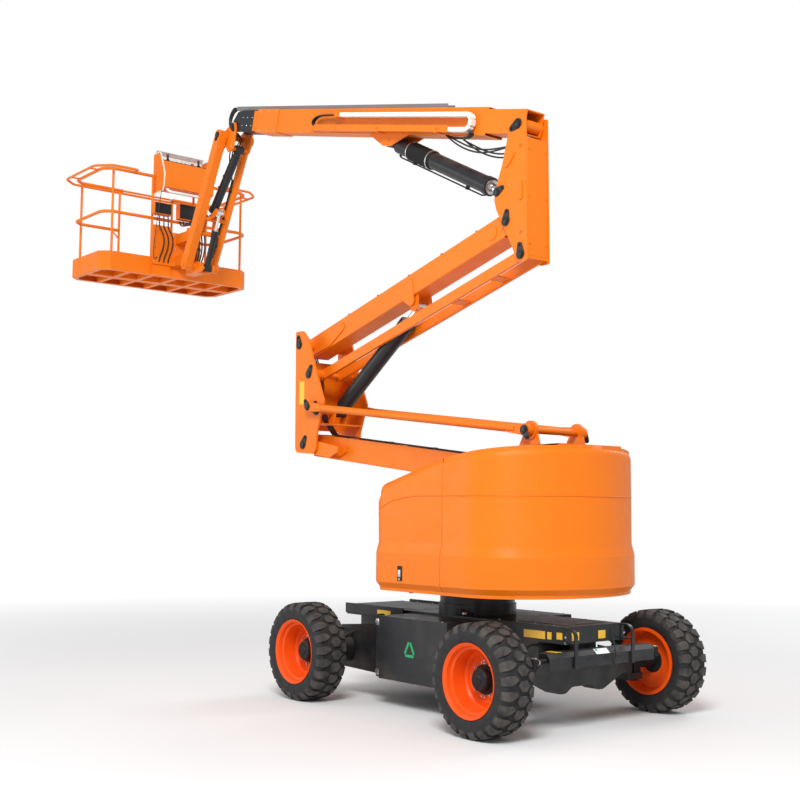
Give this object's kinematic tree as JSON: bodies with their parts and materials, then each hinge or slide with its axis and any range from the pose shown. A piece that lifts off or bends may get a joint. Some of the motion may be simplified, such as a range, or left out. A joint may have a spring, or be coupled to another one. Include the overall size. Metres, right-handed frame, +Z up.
{
  "type": "articulating boom lift",
  "caption": "Wheeled articulating boom lift with a double riser, telescopic main boom, side-by-side jib and a railed work platform, posed part raised.",
  "frame": {"origin": "centre of the overall box, on the ground", "axes": "+X from the platform to the steered wheels, +Y to the far side, +Z up"},
  "size_m": [8.0295, 2.29, 6.2888],
  "materials": {
    "orange_paint": "satin",
    "black_paint": "satin",
    "grey_paint": "matte",
    "white_plastic": "matte",
    "tyre_rubber": "matte",
    "chrome_rod": "polished",
    "cast_metal": "matte"
  },
  "bodies": {
    "chassis": {"chassis_frame": "black_paint", "side_boxes": "black_paint", "deck_hoops": "black_paint", "drive_axle": "black_paint", "steer_axle": "black_paint"},
    "wheel_drive_near": {"tyre_drive_near": "tyre_rubber", "rim_drive_near": "orange_paint"},
    "wheel_drive_far": {"tyre_drive_far": "tyre_rubber", "rim_drive_far": "orange_paint"},
    "wheel_steer_near": {"tyre_steer_near": "tyre_rubber", "rim_steer_near": "orange_paint"},
    "wheel_steer_far": {"tyre_steer_far": "tyre_rubber", "rim_steer_far": "orange_paint"},
    "knuckle_near": {"steer_knuckle_near": "black_paint"},
    "knuckle_far": {"steer_knuckle_far": "black_paint"},
    "steering_rod": {"steer_rod": "chrome_rod"},
    "turntable": {"turntable_frame": "orange_paint", "hood_tail": "orange_paint", "counterweight": "cast_metal", "engine_block": "black_paint", "oil_tank": "black_paint"},
    "door_near": {"hood_door_near": "orange_paint"},
    "door_far": {"hood_door_far": "orange_paint"},
    "lower_arm": {"lower_arm": "orange_paint"},
    "tie_rods": {"tie_rods": "orange_paint"},
    "lower_knuckle": {"lower_knuckle": "orange_paint"},
    "tower_barrel": {"tower_cylinder_barrel": "black_paint"},
    "tower_rod": {"tower_cylinder_rod": "chrome_rod"},
    "upper_arm": {"upper_arm": "orange_paint"},
    "upper_link": {"upper_link": "orange_paint"},
    "upper_knuckle": {"upper_knuckle": "orange_paint"},
    "riser_barrel": {"riser_cylinder_barrel": "black_paint"},
    "riser_rod": {"riser_cylinder_rod": "chrome_rod"},
    "main_boom": {"main_boom": "orange_paint", "cable_chain": "white_plastic"},
    "boom_barrel": {"boom_cylinder_barrel": "black_paint"},
    "boom_rod": {"boom_cylinder_rod": "chrome_rod"},
    "fly": {"fly_tube": "orange_paint", "fly_head": "black_paint", "fly_channel": "grey_paint"},
    "tip_knuckle": {"tip_knuckle": "orange_paint"},
    "jib": {"jib": "orange_paint"},
    "jib_barrel": {"jib_cylinder_barrel": "black_paint"},
    "jib_rod": {"jib_cylinder_rod": "chrome_rod"},
    "jib_head": {"jib_head": "black_paint"},
    "level_barrel": {"level_cylinder_barrel": "black_paint"},
    "level_rod": {"level_cylinder_rod": "chrome_rod"},
    "platform": {"platform_mount": "orange_paint", "platform_floor": "orange_paint", "platform_rails": "orange_paint", "control_console": "orange_paint", "console_cover": "white_plastic"},
    "gate": {"platform_gate_bar": "orange_paint"}
  },
  "joints": [
    {"name": "turntable_slew", "type": "hinge", "parent": "chassis", "child": "turntable", "pos_m": [2.47612, 0, 0.775], "axis": [0, 0, 1], "range_deg": [-177.5, 177.5]},
    {"name": "wheel_drive_near_spin", "type": "hinge", "parent": "chassis", "child": "wheel_drive_near", "pos_m": [1.35611, -0.9925, 0.419], "axis": [0, 1, 0], "continuous": true},
    {"name": "steer_near", "type": "hinge", "parent": "chassis", "child": "knuckle_near", "pos_m": [3.59612, -0.69, 0.419], "axis": [0, 0, 1], "range_deg": [-30, 30]},
    {"name": "wheel_steer_near_spin", "type": "hinge", "parent": "knuckle_near", "child": "wheel_steer_near", "pos_m": [3.59612, -0.9925, 0.419], "axis": [0, 1, 0], "continuous": true},
    {"name": "wheel_drive_far_spin", "type": "hinge", "parent": "chassis", "child": "wheel_drive_far", "pos_m": [1.35611, 0.9925, 0.419], "axis": [0, 1, 0], "continuous": true},
    {"name": "steer_far", "type": "hinge", "parent": "chassis", "child": "knuckle_far", "pos_m": [3.59612, 0.69, 0.419], "axis": [0, 0, 1], "range_deg": [-30, 30]},
    {"name": "wheel_steer_far_spin", "type": "hinge", "parent": "knuckle_far", "child": "wheel_steer_far", "pos_m": [3.59612, 0.9925, 0.419], "axis": [0, 1, 0], "continuous": true},
    {"name": "steering_rod_slide", "type": "slide", "parent": "chassis", "child": "steering_rod", "axis": [0, 1, 0], "range_m": [-0.122, 0.122]},
    {"name": "door_near_hinge", "type": "hinge", "parent": "turntable", "child": "door_near", "pos_m": [2.97862, -0.873, 1.295], "axis": [0, 0, 1], "range_deg": [0, 110]},
    {"name": "door_far_hinge", "type": "hinge", "parent": "turntable", "child": "door_far", "pos_m": [2.97862, 0.873, 1.295], "axis": [0, 0, -1], "range_deg": [0, 110]},
    {"name": "lower_arm_hinge", "type": "hinge", "parent": "turntable", "child": "lower_arm", "pos_m": [3.22112, 0, 1.923], "axis": [0, 1, 0], "range_deg": [-12, 53]},
    {"name": "tie_rods_hinge", "type": "hinge", "parent": "turntable", "child": "tie_rods", "pos_m": [3.38712, 0, 2.29], "axis": [0, 1, 0], "range_deg": [-12.05, 53.05]},
    {"name": "lower_knuckle_hinge", "type": "hinge", "parent": "lower_arm", "child": "lower_knuckle", "pos_m": [0.20576, 0, 2.29324], "axis": [0, 1, 0], "range_deg": [-53.05, 12.05]},
    {"name": "tower_cylinder_hinge", "type": "hinge", "parent": "turntable", "child": "tower_barrel", "pos_m": [2.82612, 0, 1.15], "axis": [0, 1, 0], "range_deg": [-9.32, 41]},
    {"name": "tower_cylinder_slide", "type": "slide", "parent": "tower_barrel", "child": "tower_rod", "axis": [-0.82, 0, 0.5723], "range_m": [-0.16896, 0.74453]},
    {"name": "upper_arm_hinge", "type": "hinge", "parent": "lower_knuckle", "child": "upper_arm", "pos_m": [0.11776, 0, 3.30724], "axis": [0, -1, 0], "range_deg": [-11.25, 48.75]},
    {"name": "upper_link_hinge", "type": "hinge", "parent": "lower_knuckle", "child": "upper_link", "pos_m": [0.29176, 0, 2.99724], "axis": [0, -1, 0], "range_deg": [-11.3, 48.8]},
    {"name": "upper_knuckle_hinge", "type": "hinge", "parent": "upper_arm", "child": "upper_knuckle", "pos_m": [2.96774, 0, 4.08423], "axis": [0, -1, 0], "range_deg": [-48.8, 11.3]},
    {"name": "riser_cylinder_hinge", "type": "hinge", "parent": "lower_knuckle", "child": "riser_barrel", "pos_m": [0.43076, 0, 2.61924], "axis": [0, -1, 0], "range_deg": [-9.15, 39.48]},
    {"name": "riser_cylinder_slide", "type": "slide", "parent": "riser_barrel", "child": "riser_rod", "axis": [0.8114, 0, 0.5845], "range_m": [-0.13531, 0.58467]},
    {"name": "main_boom_hinge", "type": "hinge", "parent": "upper_knuckle", "child": "main_boom", "pos_m": [3.11474, 0, 4.89223], "axis": [0, 1, 0], "range_deg": [-14.3, 55.7]},
    {"name": "boom_cylinder_hinge", "type": "hinge", "parent": "main_boom", "child": "boom_barrel", "pos_m": [1.29826, 0, 5.18291], "axis": [0, 1, 0], "range_deg": [-5.86, 1.54]},
    {"name": "boom_cylinder_slide", "type": "slide", "parent": "boom_barrel", "child": "boom_rod", "axis": [0.8837, 0, -0.4681], "range_m": [-0.13257, 0.51492]},
    {"name": "fly_slide", "type": "slide", "parent": "main_boom", "child": "fly", "axis": [-0.969, 0, 0.247], "range_m": [0, 1.8]},
    {"name": "tip_knuckle_hinge", "type": "hinge", "parent": "fly", "child": "tip_knuckle", "pos_m": [-1.54641, 0, 6.03907], "axis": [0, 1, 0], "range_deg": [-55.75, 14.35]},
    {"name": "jib_hinge", "type": "hinge", "parent": "tip_knuckle", "child": "jib", "pos_m": [-1.68891, 0, 5.94997], "axis": [0, 1, 0], "range_deg": [-2.9, 62]},
    {"name": "jib_cylinder_hinge", "type": "hinge", "parent": "tip_knuckle", "child": "jib_barrel", "pos_m": [-1.58891, 0, 5.78997], "axis": [0, 1, 0], "range_deg": [-2.86, 60.18]},
    {"name": "jib_cylinder_slide", "type": "slide", "parent": "jib_barrel", "child": "jib_rod", "axis": [-0.6659, 0, -0.746], "range_m": [-0.00994, 0.2023]},
    {"name": "jib_head_hinge", "type": "hinge", "parent": "jib", "child": "jib_head", "pos_m": [-2.43011, 0, 4.55008], "axis": [0, 1, 0], "range_deg": [-62.05, 2.95]},
    {"name": "level_cylinder_hinge", "type": "hinge", "parent": "jib_head", "child": "level_barrel", "pos_m": [-2.26512, 0, 4.50008], "axis": [0, 1, 0], "range_deg": [-3.41, 71.84]},
    {"name": "level_cylinder_slide", "type": "slide", "parent": "level_barrel", "child": "level_rod", "axis": [0.3963, 0, 0.9181], "range_m": [-0.14607, 0.00731]},
    {"name": "platform_rotation", "type": "hinge", "parent": "jib_head", "child": "platform", "pos_m": [-2.60512, 0, 4.55008], "axis": [0, 0, 1], "range_deg": [-85, 85]},
    {"name": "gate_bar_hinge", "type": "hinge", "parent": "platform", "child": "gate", "pos_m": [-3.87611, -0.333, 5.71508], "axis": [1, 0, 0], "range_deg": [0, 90]}
  ],
  "couplings": [
    {"joint": "steer_far", "follows": "steer_near", "ratio": 1},
    {"joint": "steering_rod_slide", "follows": "steer_near", "m_per_rad": 0.23},
    {"joint": "tie_rods_hinge", "follows": "lower_arm_hinge", "ratio": 1},
    {"joint": "lower_knuckle_hinge", "follows": "lower_arm_hinge", "ratio": -1},
    {"joint": "tower_cylinder_hinge", "follows": "lower_arm_hinge", "ratio": 0.7727},
    {"joint": "tower_cylinder_slide", "follows": "lower_arm_hinge", "m_per_rad": 0.80433},
    {"joint": "upper_link_hinge", "follows": "upper_arm_hinge", "ratio": 1},
    {"joint": "upper_knuckle_hinge", "follows": "upper_arm_hinge", "ratio": -1},
    {"joint": "riser_cylinder_hinge", "follows": "upper_arm_hinge", "ratio": 0.80882},
    {"joint": "riser_cylinder_slide", "follows": "upper_arm_hinge", "m_per_rad": 0.68657},
    {"joint": "boom_cylinder_hinge", "follows": "main_boom_hinge", "ratio": -0.10421},
    {"joint": "boom_cylinder_slide", "follows": "main_boom_hinge", "m_per_rad": 0.52915},
    {"joint": "tip_knuckle_hinge", "follows": "main_boom_hinge", "ratio": -1},
    {"joint": "jib_cylinder_hinge", "follows": "jib_hinge", "ratio": 0.96984},
    {"joint": "jib_cylinder_slide", "follows": "jib_hinge", "m_per_rad": 0.18649},
    {"joint": "jib_head_hinge", "follows": "jib_hinge", "ratio": -1},
    {"joint": "level_cylinder_hinge", "follows": "jib_hinge", "ratio": 1.1578},
    {"joint": "level_cylinder_slide", "follows": "jib_hinge", "m_per_rad": -0.13453}
  ]
}
